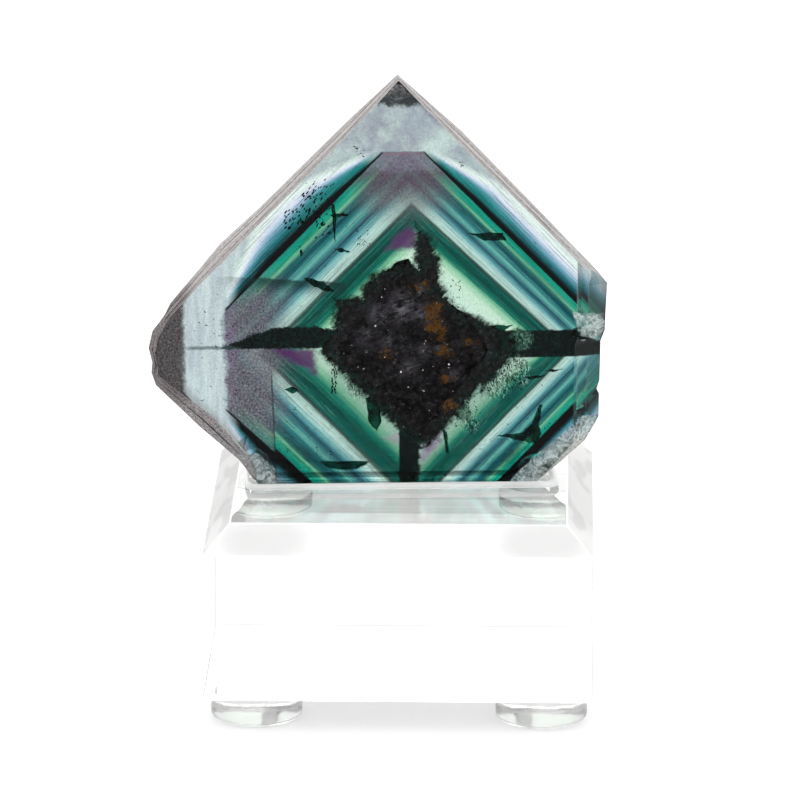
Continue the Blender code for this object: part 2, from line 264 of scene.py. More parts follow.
def line_terms(start, end, middle):
    """The terms of a sum that gives the distance from a line, growing away from the middle."""
    run, rise = end[0] - start[0], end[1] - start[1]
    length = math.hypot(run, rise)
    across, height = rise / length, -run / length
    offset = -(across * start[0] + height * start[1])
    if across * middle[0] + height * middle[1] + offset > 0.0:
        across, height, offset = -across, -height, -offset
    return across, height, offset


def middle_of(corners):
    """The mean of an outline's corners."""
    return sum(u for u, _ in corners) / len(corners), sum(z for _, z in corners) / len(corners)


def sides_of(corners):
    """The two ends of each side of an outline."""
    return zip(corners, (*corners[1:], corners[0]))


def reach_outside(outlines, across, height):
    """How far a point lies outside some convex outlines that overlap: below zero inside them."""
    reaches = []
    for corners in outlines:
        terms = [line_terms(*side, middle_of(corners)) for side in sides_of(corners)]
        reaches.append(max(a * across + b * height + c for a, b, c in terms))
    return min(reaches)


def linear(colour):
    """Turns a colour as it looks on screen into the light values that shaders use."""
    return tuple(c / 12.92 if c <= 0.04045 else ((c + 0.055) / 1.055) ** 2.4 for c in colour)


class Wire:
    """A shader socket that takes part in sums: each operator adds a Math node."""

    def __init__(self, recipe, socket):
        self.recipe = recipe
        self.socket = socket

    def maths(self, operation, *terms):
        return self.recipe.node("ShaderNodeMath", {"operation": operation}, dict(enumerate(terms)))

    def __add__(self, other):
        return self.maths("ADD", self, other)

    def __sub__(self, other):
        return self.maths("SUBTRACT", self, other)

    def __rsub__(self, other):
        return self.maths("SUBTRACT", other, self)

    def __mul__(self, other):
        return self.maths("MULTIPLY", self, other)

    def __truediv__(self, other):
        return self.maths("DIVIDE", self, other)

    def __rtruediv__(self, other):
        return self.maths("DIVIDE", other, self)

    def __abs__(self):
        return self.maths("ABSOLUTE", self)

    def at_least(self, other):
        return self.maths("MAXIMUM", self, other)

    def at_most(self, other):
        return self.maths("MINIMUM", self, other)

    def smooth(self, low, high):
        """0 at low and 1 at high, eased at both ends; low may be the larger."""
        values = {"Value": self, "From Min": low, "From Max": high}
        return self.recipe.node("ShaderNodeMapRange", {"interpolation_type": "SMOOTHSTEP"}, values)

    __radd__ = __add__
    __rmul__ = __mul__


class Recipe:
    """The node tree of one material, and the place that its patterns are read at."""

    def __init__(self, name, middle=(0.0, 0.0, 0.0), turn=0.0, unit=MM):
        self.material = bpy.data.materials.new(name)
        self.material.use_nodes = True
        self.tree = self.material.node_tree
        self.tree.nodes.clear()
        self.place = self.node("ShaderNodeMapping", {"vector_type": "TEXTURE"}, {
            "Vector": self.node("ShaderNodeTexCoord", output="Object"), "Location": middle,
            "Rotation": (0.0, 0.0, turn), "Scale": (unit,) * 3,
        })

    def node(self, kind, settings=None, values=None, output=0):
        """Adds a node: its settings first, then the values or links of its sockets."""
        node = self.tree.nodes.new(kind)
        for name, setting in (settings or {}).items():
            if name == "stops":
                self.set_stops(node.color_ramp, setting)
            else:
                setattr(node, name, setting)
        for name, value in (values or {}).items():
            if isinstance(value, Wire):
                self.tree.links.new(value.socket, node.inputs[name])
            else:
                node.inputs[name].default_value = value
        return Wire(self, node.outputs[output])

    @staticmethod
    def set_stops(ramp, stops):
        while len(ramp.elements) < len(stops):
            ramp.elements.new(0.5)
        for element, (place, colour) in zip(ramp.elements, stops):
            element.position = place
            element.color = (*colour, 1.0)

    def parts(self):
        """The recipe's place as its three numbers."""
        splitter = self.node("ShaderNodeSeparateXYZ", None, {0: self.place})
        return [Wire(self, socket) for socket in splitter.socket.node.outputs]

    def join(self, x, y, z):
        return self.node("ShaderNodeCombineXYZ", None, {0: x, 1: y, 2: z})

    def grain(self, scale, detail=3.0, roughness=0.5, distortion=0.0, stretch=None, turn=None, place=None):
        """Noise at the recipe's place or another, turned by degrees about Y, then stretched."""
        place = place or self.place
        if turn is not None:
            values = {"Vector": place, "Rotation": (0.0, math.radians(turn), 0.0)}
            place = self.node("ShaderNodeMapping", {"vector_type": "POINT"}, values)
        if stretch is not None:
            place = self.node("ShaderNodeVectorMath", {"operation": "MULTIPLY"}, {0: place, 1: stretch})
        return self.node("ShaderNodeTexNoise", None, {
            "Vector": place, "Scale": scale, "Detail": detail, "Roughness": roughness,
            "Distortion": distortion,
        })

    @staticmethod
    def colour(value):
        return value if isinstance(value, Wire) else (*linear(value), 1.0)

    def blend(self, share, first, second):
        """Mixes two colours by a share from 0 to 1."""
        values = {0: share, 6: self.colour(first), 7: self.colour(second)}
        return self.node("ShaderNodeMix", {"data_type": "RGBA"}, values, 2)

    def layered(self, tone, *layers):
        """Lays colours over a tone, one after another, each by its own share."""
        for share, colour in layers:
            tone = self.blend(share, tone, colour)
        return tone

    def ramp(self, place, stops):
        """A colour read from stops, at places that run from the first stop to the last."""
        low, high = stops[0][0], stops[-1][0]
        scaled = [((at - low) / (high - low), linear(colour)) for at, colour in stops]
        return self.node("ShaderNodeValToRGB", {"stops": scaled}, {0: (place - low) / (high - low)})

    def line(self, spot, start, end, middle=ZONE_MIDDLE):
        """Distance from the line through two points, growing away from the middle."""
        values = {0: spot, 1: line_terms(start, end, middle)}
        return self.node("ShaderNodeVectorMath", {"operation": "DOT_PRODUCT"}, values, "Value")

    def outline(self, spot, corners):
        """Distance from a convex outline: below zero inside it."""
        middle = middle_of(corners)
        return reduce(Wire.at_least, [self.line(spot, *side, middle) for side in sides_of(corners)])

    def shapes(self, spot, outlines):
        """Distance from the nearest of some convex outlines."""
        return reduce(Wire.at_most, [self.outline(spot, corners) for corners in outlines])

    def near(self, spot, places):
        """Distance from the nearest of some round places: below zero inside them."""
        return reduce(Wire.at_most, [self.distance(spot, point) - radius for point, radius in places])

    def distance(self, spot, point):
        values = {0: spot, 1: (*point, 1.0)}
        return self.node("ShaderNodeVectorMath", {"operation": "DISTANCE"}, values, "Value")

    def dim(self, colour, factor):
        return self.node("ShaderNodeVectorMath", {"operation": "SCALE"}, {0: colour, "Scale": factor})

    def bump(self, height, strength, distance):
        values = {"Strength": strength, "Distance": distance, "Height": height}
        return self.node("ShaderNodeBump", None, values)

    def surface(self, **values):
        """A Principled shader whose sockets are named with underscores for spaces."""
        sockets = {name.replace("_", " "): value for name, value in values.items()}
        sockets["Base Color"] = self.colour(sockets["Base Color"])
        return self.node("ShaderNodeBsdfPrincipled", None, sockets)

    def straight(self, tone):
        """A clear surface that light crosses without bending."""
        return self.surface(Base_Color=tone, Roughness=0.0, IOR=1.0, Transmission_Weight=1.0)

    def mixed(self, share, first, second):
        return self.node("ShaderNodeMixShader", None, {0: share, 1: first, 2: second})

    def milky(self, clear, share, tone):
        """Adds a matte share to a clear surface."""
        matte = self.surface(Base_Color=tone, Roughness=0.5, Specular_IOR_Level=0.3)
        return self.mixed(share, clear, matte)

    def finish(self, shader, density=None):
        """Ends the tree with a surface and, where a density is given, the acrylic's absorption."""
        output = self.tree.nodes.new("ShaderNodeOutputMaterial")
        self.tree.links.new(shader.socket, output.inputs["Surface"])
        if density is not None:
            values = {"Color": self.colour(ACRYLIC_LIGHT), "Density": density}
            volume = self.node("ShaderNodeVolumeAbsorption", None, values)
            self.tree.links.new(volume.socket, output.inputs["Volume"])
        return self.material


def acrylic_surface(recipe, settings, tint, ground=0.0):
    """Polished clear acrylic with a few hairline scratches and specks."""
    hairs = recipe.grain(1.0, 4.0, 0.6, stretch=(0.05, 1.2, 3.0))
    specks = recipe.grain(1.6, 2.0).smooth(0.70, 0.76)
    roughness = hairs.smooth(0.55, 0.75) * 0.03 + specks * 0.10 + (0.004 + ground)
    return recipe.surface(
        Base_Color=tint, Roughness=roughness, IOR=settings.acrylic_ior, Transmission_Weight=1.0,
        Normal=recipe.bump(hairs, 0.02, 0.00005),
    )


def acrylic_finish(settings):
    """The block's polished sides and underside."""
    recipe = Recipe("clear acrylic polished")
    shader = acrylic_surface(recipe, settings, settings.acrylic_tint[:])
    return recipe.finish(shader, settings.acrylic_density)


def top_finish(settings):
    """The block's top: behind its front edge a grey tint with faint streaks, painted shade for the shaded
    floor seen through it, and a matte haze behind the slice.
    """
    recipe = Recipe("clear acrylic top painted shade")
    streaks = recipe.grain(1.0, 3.0, 0.6, stretch=(0.35, 0.06, 0.0)).smooth(0.35, 0.65)
    wipes = recipe.grain(1.0, 3.0, 0.6, stretch=(0.03, 0.9, 0.0)).smooth(0.45, 0.7)
    front = recipe.parts()[1].smooth(-4.0, -9.0)
    # Painted shade: the grey streaked tint behind the top's front edge stands in for the shaded floor seen
    # through the block.
    tint = recipe.blend(streaks, (0.83, 0.83, 0.825), (0.91, 0.905, 0.90))
    tint = recipe.blend(wipes * 0.5, tint, (0.98, 0.98, 0.975))
    tint = recipe.blend(front, (0.99, 0.99, 0.99), tint)
    clear = acrylic_surface(recipe, settings, tint)
    shader = recipe.milky(clear, (1.0 - front) * settings.top_haze, (0.96, 0.96, 0.96))
    return recipe.finish(shader, settings.acrylic_density)


def bevel_finish(settings):
    """The block's bevels, left with a satin cut, with painted shade greying them at the two ends."""
    recipe = Recipe("clear acrylic satin", (CAD_BLOCK_MIDDLE.x, CAD_BLOCK_MIDDLE.y, 0.0))
    across, along, _ = recipe.parts()
    cut = recipe.grain(1.0, 3.0, 0.6, stretch=(0.5, 0.5, 2.5))
    sheen = recipe.grain(1.0, 1.0, stretch=(0.25, 0.10, 0.3)).smooth(0.44, 0.56)
    # Painted shade: the bevels grey towards the block's two ends, in both the clear tint and the matte
    # tone, mottled by a painted sheen.
    end = (abs(across) - abs(along)).smooth(-0.2, 0.2)
    painted_end_shade = recipe.blend(sheen, (0.74, 0.74, 0.735), (0.84, 0.84, 0.835))
    tint = recipe.blend(end, (0.99, 0.99, 0.99), recipe.dim(painted_end_shade, 1.15))
    clear = acrylic_surface(recipe, settings, tint, settings.bevel_roughness)
    tone = recipe.blend(end, (0.97, 0.97, 0.965), painted_end_shade)
    shader = recipe.milky(clear, end * 0.25 + cut * 0.06 + settings.bevel_satin, tone)
    return recipe.finish(shader, settings.acrylic_density)


def bonded_finish(settings):
    """The foot's clear adhesive: light crosses it straight where it wets the acrylic; its grey tone is
    painted shade for the shaded floor seen through it.
    """
    recipe = Recipe("bonded joint")
    bubbles = recipe.grain(1.1, 2.0).smooth(0.62, 0.70)
    # Painted shade: the grey tone, with darker bubbles, stands in for the shaded floor seen through the
    # feet.
    tone = recipe.blend(bubbles, (0.87, 0.873, 0.87), (0.79, 0.80, 0.80))
    dry = recipe.surface(
        Base_Color=tone, Roughness=0.02, IOR=settings.acrylic_ior, Transmission_Weight=1.0
    )
    share = bubbles * 0.1 + (1.0 - settings.adhesive_contact)
    return recipe.finish(recipe.mixed(share, recipe.straight(tone), dry))


def edge_finish():
    """The hairline breaks along the block's edges, which let light out instead of trapping it; their light
    grey tone is painted shade that draws the edges as faint lines.
    """
    recipe = Recipe("softened edge painted shade")
    # Painted shade: a light grey tone that draws the block's edges as faint grey lines.
    tone = recipe.blend(recipe.grain(1.0), (0.97, 0.97, 0.97), (0.93, 0.93, 0.93))
    return recipe.finish(recipe.straight(tone))


def bumper_finish(settings):
    """Clear soft plastic of the feet, a little hazy and dimpled."""
    recipe = Recipe("clear soft bumper")
    dimples = recipe.grain(0.9, 2.0)
    clear = recipe.surface(
        Base_Color=(0.992, 0.992, 0.992), Roughness=dimples.smooth(0.45, 0.75) * 0.05 + settings.foot_haze,
        IOR=settings.foot_ior, Transmission_Weight=1.0, Normal=recipe.bump(dimples, 0.15, 0.0002),
    )
    return recipe.finish(recipe.milky(clear, dimples * 0.1 + settings.foot_milk, (0.93, 0.935, 0.93)))


def glue_finish(settings):
    """Cloudy clear glue with small waves and a few bubbles."""
    recipe = Recipe("clear glue cured")
    waves = recipe.grain(0.8, 2.0, stretch=(0.25, 1.0, 1.0))
    bubbles = recipe.grain(2.4, 1.0).smooth(0.66, 0.72)
    clear = recipe.surface(
        Base_Color=recipe.blend(bubbles, (1.0, 1.0, 1.0), (0.92, 0.93, 0.93)),
        Roughness=bubbles * 0.2 + 0.35, IOR=settings.glue_ior, Transmission_Weight=1.0,
        Normal=recipe.bump(waves, 0.3, 0.0003),
    )
    return recipe.finish(recipe.milky(clear, waves * 0.15 + settings.glue_cloud, (0.99, 0.99, 0.985)))


def pad_finish():
    """The pad of glue under the slice, thin enough to see straight through."""
    recipe = Recipe("clear glue pad")
    tone = recipe.blend(recipe.grain(0.5, 2.0), (0.99, 0.99, 0.99), (0.97, 0.975, 0.975))
    return recipe.finish(recipe.straight(tone))


def skin_finish(settings):
    """The natural grey skin of the crystal's sides, with fine growth lines along them."""
    recipe = Recipe("natural crystal skin", SLICE_BASE, SLICE_TURN)
    across, _, height = recipe.parts()
    lines = recipe.grain(1.0, 3.0, 0.6, stretch=(0.15, 6.0, 0.15))
    mottle = recipe.grain(1.4, 4.0, 0.6)
    pits = recipe.grain(4.5, 3.0, 0.6)
    sand = recipe.grain(6.0, 2.0, 0.6).smooth(0.35, 0.65)
    tone = recipe.blend(mottle.smooth(0.3, 0.7), (0.68, 0.66, 0.65), (0.55, 0.54, 0.54))
    tone = recipe.blend(lines.smooth(0.52, 0.62) * 0.4, tone, (0.46, 0.44, 0.43))
    tone = recipe.blend(pits.smooth(0.60, 0.70) * 0.6, tone, (0.25, 0.21, 0.22))
    tone = recipe.dim(tone, sand * 0.22 + 0.84)
    slope = recipe.blend(pits.smooth(0.40, 0.62), (0.30, 0.28, 0.29), (0.64, 0.62, 0.62))
    crust = recipe.blend(pits.smooth(0.40, 0.60), (0.12, 0.10, 0.10), (0.46, 0.42, 0.42))
    frost = recipe.blend(pits.smooth(0.42, 0.60), (0.42, 0.42, 0.40), (0.84, 0.85, 0.83))
    tone = recipe.layered(
        tone,
        (height.smooth(17.0, 12.0) * across.smooth(-12.0, -18.0), slope),
        ((across + mottle * 3.0).smooth(-26.5, -29.5) * height.smooth(9.5, 13.5), crust),
        (height.smooth(12.0, 9.0) * across.smooth(18.0, 21.0), frost),
    )
    return recipe.finish(recipe.surface(
        Base_Color=tone, Roughness=0.55, IOR=settings.fluorite_ior,
        Normal=recipe.bump(lines + pits, 0.4, 0.0001),
    ))


def zone_place(recipe):
    """How far across and how high the zoning is read on the slice, and both as one spot."""
    across, depth, height = recipe.parts()
    across = across - depth * (across * ZONE_SPREAD + ZONE_DRIFT)
    height = height + depth * (ZONE_LEAN - height * ZONE_SPREAD)
    return across, height, recipe.join(across, height, 1.0)


def zone_share(recipe, across, height, spot, wander):
    """How far out a spot lies, 0 at the inner diamond and 1 at the black band.

    It comes with the shares of the spot that lie past the crack and on the facet.
    """
    cracked = recipe.line(spot, *CRACK).smooth(-0.06, 0.06) * height.smooth(17.4, 16.4)
    faceted = across.smooth(FACET_EDGE - 0.06, FACET_EDGE + 0.06)
    moved = recipe.join(across + cracked * 0.55 - faceted * 1.1, height + cracked * 0.15, 1.0)
    sides = []
    for inner, outer in ZONE_SIDES.values():
        near = recipe.line(moved, *inner)
        sides.append(near / (near - recipe.line(moved, *outer)))
    share = reduce(Wire.at_least, sides)
    low = height.smooth(20.0, 14.0) * share.smooth(-0.10, -0.30)
    share = share + low * (across.smooth(2.0, 7.0) * 0.05 + 0.04)
    return share + wander * 0.03, cracked, faceted


def violet_tone(recipe, grit, height, level):
    """The greyed violet of the zones at the left and the top, darker towards the top cut."""
    crown = recipe.layered(
        (0.50, 0.46, 0.54), (level.smooth(46.6, 45.2), (0.35, 0.27, 0.33)),
        (level.smooth(44.0, 41.5), (0.40, 0.42, 0.43)),
    )
    violet = recipe.blend(grit, (0.24, 0.22, 0.26), (0.52, 0.51, 0.55))
    violet = recipe.blend(height.smooth(37.0, 41.0) * 0.72, violet, crown)
    return recipe.dim(violet, recipe.grain(2.6, 5.0, 0.8).smooth(0.40, 0.60) * 0.55 + 0.72)


def pale_tone(recipe, across, grit):
    """The pale stone beyond the cut corners: cloudy at the top, in columns at the left."""
    clouds = recipe.grain(0.25, 4.0, 0.6).smooth(0.40, 0.60)
    columns = recipe.grain(1.0, 4.0, 0.6, stretch=(0.9, 1.0, 0.12)).smooth(0.36, 0.64)
    top = recipe.blend(clouds, (0.62, 0.66, 0.70), (0.77, 0.85, 0.83))
    left = recipe.blend(columns, (0.70, 0.75, 0.78), (0.81, 0.88, 0.88))
    return recipe.dim(recipe.blend(across.smooth(-14.0, -20.0), top, left), 0.90 + grit * 0.14)


def zone_tone(recipe, across, height, spot, fine):
    """The square zones of colour with their cut corners, cracks and black band, and their grit."""
    wander = recipe.grain(0.35, 3.0, 0.55) - 0.5
    share, cracked, faceted = zone_share(recipe, across, height, spot, wander)
    reach = (TOP_CUT - height).at_most(across - LEFT_CUT)
    left_end = across.smooth(-20.0, -22.0)
    fray = recipe.grain(1.3, 5.0, 0.7) - 0.5
    beyond = (reach + wander * (left_end * 2.5 + 0.5) + fray * left_end * 2.2) / (left_end * 1.8 + 1.0)
    beyond = beyond.smooth(0.14, -0.14)
    outside = (share - 1.0).at_least(0.0) / (reach.smooth(-1.2, 7.0) * 0.76 + 0.24)
    outside = outside.at_least(reach * -0.45 * share.smooth(0.96, 1.0))
    tone = recipe.ramp(share.at_most(1.0) + outside, ZONE_STOPS)
    teal = outside.smooth(0.05, 0.18) * outside.smooth(0.42, 0.30) * height.smooth(34.0, 44.0)
    tone = recipe.blend(teal * 0.5, tone, (0.12, 0.58, 0.54))

    growth = recipe.grain(38.0, 5.0, 0.75, place=recipe.join(share, across * 0.003, height * 0.003))
    tone = recipe.dim(tone, 1.0 - growth.smooth(0.48, 0.64) * 0.48 * share.smooth(-0.7, -0.3))
    shade = share.smooth(-0.20, -0.45) * (height + wander * 8.0).smooth(22.0, 14.0)
    tone = recipe.layered(
        tone, (growth.smooth(0.47, 0.33) * 0.22, (0.62, 0.82, 0.74)), (shade * 0.50, (0.06, 0.43, 0.36)),
    )

    inside = share.smooth(1.02, 0.98) * (1.0 - beyond)
    grit = recipe.grain(3.4, 4.0, 0.7).smooth(0.36, 0.64)
    level = height + wander * 3.0
    violet = violet_tone(recipe, grit, height, level)
    top = abs(across - 0.9 + wander * 2.0).smooth(9.0, 2.5) * level.smooth(37.0, 42.5)
    top = top.at_least(level.smooth(42.2, 45.6) * 0.95)
    left = (across + wander * 5.0).smooth(-13.5, -19.5)
    greyed = top.at_least(left * height.smooth(5.0, 12.0) * height.smooth(33.0, 26.0))
    streak = (across + wander * 2.0).smooth(-22.4, -23.6) * inside * grit

    widening = (across.smooth(5.0, 20.0) * 0.09).at_least(across.smooth(-5.0, -12.0) * 0.06)
    widening = widening * height.smooth(20.0, 14.0)
    band = (share - 1.0) / (reach.smooth(-0.5, 8.0) * BAND_WIDTH + widening + 0.01)
    black = share.smooth(0.985, 1.005) * band.smooth(1.5, 0.75) * (1.0 - beyond)

    cover = beyond * share.smooth(1.03, 0.99)
    cover = cover.at_least(outside.smooth(0.62, 1.0) * 0.75 * reach.smooth(10.0, 2.0))
    cover = cover.at_least(reach.smooth(2.2, -0.6) * share.smooth(1.015, 1.05))
    cover = cover.at_least(reach.smooth(0.2, -0.2) * share.smooth(0.98, 1.0))
    dusk = recipe.line(spot, (3.8, 48.5), (-2.1, 54.4), (10.0, 60.0)).smooth(-1.6, 0.6)
    dusk = dusk * height.smooth(47.0, 50.0) * wander.smooth(-0.2, 0.1)
    fringe = recipe.line(spot, (0.4, 58.9), (20.3, 37.9)).smooth(-1.3, -0.3) * across.smooth(9.0, 4.0)
    edge = abs(TOP_CUT - 0.3 - height).smooth(0.45, 0.10) * abs(across - 0.85).smooth(3.4, 2.7)
    crack = abs(recipe.line(spot, *CRACK)).smooth(0.22, 0.04) * height.smooth(17.4, 15.0)
    # Painted highlight: a pale line along the facet's edge.
    facet_edge_highlight = abs(across - FACET_EDGE).smooth(0.20, 0.05)
    rim = recipe.parts()[0].smooth(28.8, 29.7)
    tone = recipe.layered(
        tone,
        (greyed * inside * 0.86, violet),
        (streak * 0.6, (0.56, 0.46, 0.60)),
        (black, (0.05, 0.05, 0.06)),
        (cover, pale_tone(recipe, across, grit)),
        (dusk * 0.22, (0.42, 0.36, 0.46)),
        (fringe * grit * 0.8, (0.28, 0.22, 0.38)),
        (edge * fine.smooth(0.45, 0.6), (0.52, 0.40, 0.46)),
        (crack * 0.8, (0.10, 0.13, 0.14)),
        (cracked * 0.45 * inside, violet),
        # Painted highlight along the facet's edge, then painted shade on the facet past it, darker above a
        # height of 25 mm.
        (facet_edge_highlight * 0.35, (0.55, 0.62, 0.60)),
        (faceted * (height.smooth(23.0, 25.0) * 0.3 + 0.26), (0.24, 0.31, 0.30)),
        (rim * 0.6, (0.20, 0.22, 0.20)),
    )
    return tone, grit


def dark_veins(recipe, spot, across, height, tone, ragged, fine, tip):
    """Veils, veins and the granular tips, laid over the zones."""
    veil_top = recipe.line(spot, (-27.0, 30.7), (-9.0, 29.6)) + ragged * 1.2
    veil = veil_top.smooth(0.15, -0.1) * veil_top.smooth(-2.6, -0.2)
    veil = veil * across.smooth(-27.5, -18.0) * across.smooth(-6.5, -8.5)

    tatter = ragged * (across.smooth(-6.0, -10.0) * 1.3 + 0.8)
    frayed = height.smooth(12.5, 10.0) * across.smooth(1.4, 2.6) * ragged * 4.0
    veins = recipe.shapes(spot, VEINS.values()) + tatter * height.smooth(19.0, 21.0)
    veins = veins + ragged * 0.25 + frayed
    vein_tone = recipe.blend(fine.smooth(0.46, 0.66), (0.03, 0.045, 0.045), (0.07, 0.19, 0.17))
    thread = abs(height - THREAD_HEIGHT + ragged * 0.7).smooth(0.38, 0.10)
    thread = thread * across.smooth(-31.0, -29.0) * across.smooth(-22.0, -24.0)

    grit = recipe.grain(2.2, 6.0, 0.78)
    grit_tone = recipe.blend(grit.smooth(0.38, 0.64), (0.08, 0.07, 0.08), (0.50, 0.48, 0.49))
    apex = (recipe.outline(spot, APEX_CRUST) + ragged * 3.2).smooth(0.4, -0.3)
    apex_tone = recipe.dim(grit_tone, height.smooth(56.0, 57.6) * 0.75 + 0.12)
    side = recipe.line(spot, (-28.0, 10.2), (-18.5, 0.8)) + ragged * 1.5
    return recipe.layered(
        tone,
        (veil * 0.80, (0.08, 0.17, 0.17)),
        (veins.smooth(0.10, -0.12), vein_tone),
        (thread * 0.7, (0.22, 0.30, 0.30)),
        (tip * 0.95, grit_tone),
        (apex * 0.92, apex_tone),
        (side.smooth(-2.4, -0.6) * 0.5, (0.40, 0.37, 0.38)),
    )


def violet_patches(recipe, spot, tone, ragged):
    """Violet patches with soft edges, laid over the zones."""
    for outline, violet, strength in VIOLETS:
        patch = recipe.outline(spot, outline) + ragged * 2.4
        tone = recipe.blend(patch.smooth(0.7, -0.6) * strength, tone, violet)
    return tone


def core_surface(recipe, spot):
    """Black granular rock with green margins, grey and purple lumps, folds and rust, with white specks
    painted as glints.
    """
    lumps = recipe.grain(1.3, 7.0, 0.74)
    folds = recipe.grain(0.38, 7.0, 0.66, 1.6)
    patchy = recipe.grain(0.45, 3.0, 0.6)
    streaks = recipe.grain(1.1, 6.0, 0.72, stretch=(0.5, 1.0, 1.9), turn=25.0)
    tone = recipe.blend(lumps.smooth(0.40, 0.66), (0.015, 0.015, 0.015), (0.16, 0.15, 0.16))
    margin = recipe.shapes(spot, CORE_SHAPES) + (patchy - 0.5) * 8.0
    green = recipe.blend(lumps.smooth(0.42, 0.66), (0.01, 0.05, 0.04), (0.06, 0.19, 0.16))
    creases = abs(folds - 0.5).smooth(0.020, 0.003) * patchy.smooth(0.44, 0.56)
    pale = (recipe.near(spot, PALE_LUMPS) + (folds - 0.5) * 9.0 + (streaks - 0.5) * 7.0).smooth(1.3, -1.2)
    pale = (pale * 0.85).at_least(patchy.smooth(0.62, 0.70) * 0.3).at_least(creases * 0.45)
    stone = recipe.blend(folds.smooth(0.42, 0.58), (0.26, 0.24, 0.28), (0.52, 0.52, 0.54))
    spread = (folds - 0.5) * 7.0 + (lumps - 0.5) * 7.0 + (streaks - 0.5) * 4.0
    rusty = (recipe.near(spot, RUST_SPOTS) + spread).smooth(0.2, -0.6)
    rust = recipe.blend(lumps.smooth(0.40, 0.62), (0.48, 0.33, 0.11), (0.17, 0.11, 0.04))
    tone = recipe.layered(
        tone,
        (margin.smooth(-2.0, 0.2) * 0.9, green),
        (pale * streaks.smooth(0.40, 0.58), stone),
        (rusty * lumps.smooth(0.34, 0.50) * 0.85, rust),
        # Painted glints: small white specks scattered over the core.
        (recipe.grain(2.6, 1.0, 0.5).smooth(0.76, 0.79), (0.75, 0.73, 0.70)),
    )
    return recipe.surface(
        Base_Color=tone, Roughness=0.45, Specular_IOR_Level=0.12, Normal=recipe.bump(lumps, 1.0, 0.0008),
    )


def core_finish():
    """The rough core where it stands open on the faces."""
    recipe = Recipe("rough dark core", SLICE_BASE, SLICE_TURN)
    return recipe.finish(core_surface(recipe, zone_place(recipe)[2]))


def fluorite_finish(settings, name, ior, depth):
    """The polished faces: square zones of colour round a dark core, cut by dark veins."""
    recipe = Recipe(name, SLICE_BASE, SLICE_TURN)
    across, height, spot = zone_place(recipe)
    fine = recipe.grain(2.2, 6.0, 0.7)
    ragged = recipe.grain(0.9, 6.0, 0.7) - 0.5
    grain = recipe.grain(4.5, 3.0, 0.65).smooth(0.38, 0.62)
    tip = (across + ragged * 2.0).smooth(-29.9, -31.0) * height.smooth(11.5, 13.5)
    tone, grit = zone_tone(recipe, across, height, spot, fine)
    tone = violet_patches(recipe, spot, tone, ragged)
    tone = recipe.dim(tone, grain * 0.13 + grit * 0.10 + fine.smooth(0.35, 0.60) * 0.10 + 0.80)
    tone = dark_veins(recipe, spot, across, height, tone, ragged, fine, tip)

    needles = recipe.grain(1.0, 4.0, 0.65, 1.8, stretch=(2.4, 1.0, 0.9))
    nest = (recipe.near(spot, NEEDLE_NESTS) + ragged * 2.0).smooth(0.3, -0.9)
    clump = (recipe.near(spot, LEAFY_CLUMPS) + ragged * 3.0).smooth(0.3, -0.3)
    leafy = recipe.blend(abs(needles - 0.5).smooth(0.05, 0.02), (0.03, 0.09, 0.08), (0.45, 0.66, 0.56))
    plumes = recipe.grain(1.0, 4.0, 0.7, stretch=(0.55, 1.0, 2.6), turn=38.0) - 0.5
    core = recipe.shapes(spot, CORE_SHAPES) + ragged * 3.6 + plumes * 2.0

    chipped = recipe.shapes(spot, CHIPS.values()) + ragged * 0.8
    shell = recipe.grain(0.6, 6.0, 0.62, 2.5)
    shell_tone = recipe.blend(shell.smooth(0.35, 0.65), (0.50, 0.54, 0.53), (0.82, 0.87, 0.86))
    shell_tone = recipe.dim(shell_tone, grain * 0.25 + 0.78)
    specks = recipe.grain(1.5, 2.0, 0.6).smooth(0.715, 0.75)
    tone = recipe.layered(
        tone,
        (nest * needles.smooth(0.50, 0.55) * 0.92, (0.04, 0.10, 0.09)),
        (nest * needles.smooth(0.46, 0.40) * 0.6, (0.80, 0.93, 0.86)),
        (clump * 0.9, leafy),
        (core.smooth(1.0, 0.0) * 0.85, (0.03, 0.13, 0.10)),
        (chipped.smooth(0.15, -0.15) * 0.72, shell_tone),
        (specks * 0.85, (0.04, 0.07, 0.07)),
    )
    stone = recipe.surface(
        Base_Color=recipe.dim(tone, depth), Roughness=fine.smooth(0.6, 0.8) * 0.04 + 0.01, IOR=ior,
        Transmission_Weight=1.0, Specular_Tint=(*(settings.fluorite_gloss,) * 3, 1.0),
        Normal=recipe.bump(shell, chipped.smooth(0.1, -0.1) * 0.5, 0.0005),
    )
    stone = recipe.milky(stone, chipped.smooth(0.1, -0.1) * shell.smooth(0.45, 0.6) * 0.5, shell_tone)

    slope = recipe.line(spot, (-30.2, 11.8), (-19.4, 1.8)) + ragged * 0.8
    slope = slope.smooth(-1.2, -0.2) * height.smooth(3.0, 6.0) * across.smooth(-18.0, -20.0)
    crust_tone = recipe.blend(grit, (0.11, 0.10, 0.11), (0.43, 0.41, 0.42))
    crust_tone = recipe.dim(crust_tone, fine.smooth(0.35, 0.65) * 0.5 + 0.6)
    stone = recipe.milky(stone, tip.at_least(slope) * 0.72, crust_tone)
    return recipe.finish(recipe.mixed(core.smooth(0.25, -0.25), stone, core_surface(recipe, spot)))


def new_object(name, shape, materials):
    """Turns a bmesh into an object with its materials."""
    mesh = bpy.data.meshes.new(name)
    shape.to_mesh(mesh)
    shape.free()
    for material in materials:
        mesh.materials.append(material)
    made = bpy.data.objects.new(name, mesh)
    bpy.context.scene.collection.objects.link(made)
    return made


def new_piece(name, shape, materials, replaced=None):
    """Turns a bmesh into a piece of the object that rides on its one body."""
    piece = new_object(name, shape, materials)
    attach(piece, BODY)
    if replaced is not None:
        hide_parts(replaced)
    return piece


def merged_copy(node):
    """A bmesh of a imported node, with its loose triangles merged."""
    shape = bmesh.new()
    shape.from_mesh(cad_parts[node].data)
    bmesh.ops.remove_doubles(shape, verts=shape.verts, dist=0.002 * MM)
    return shape


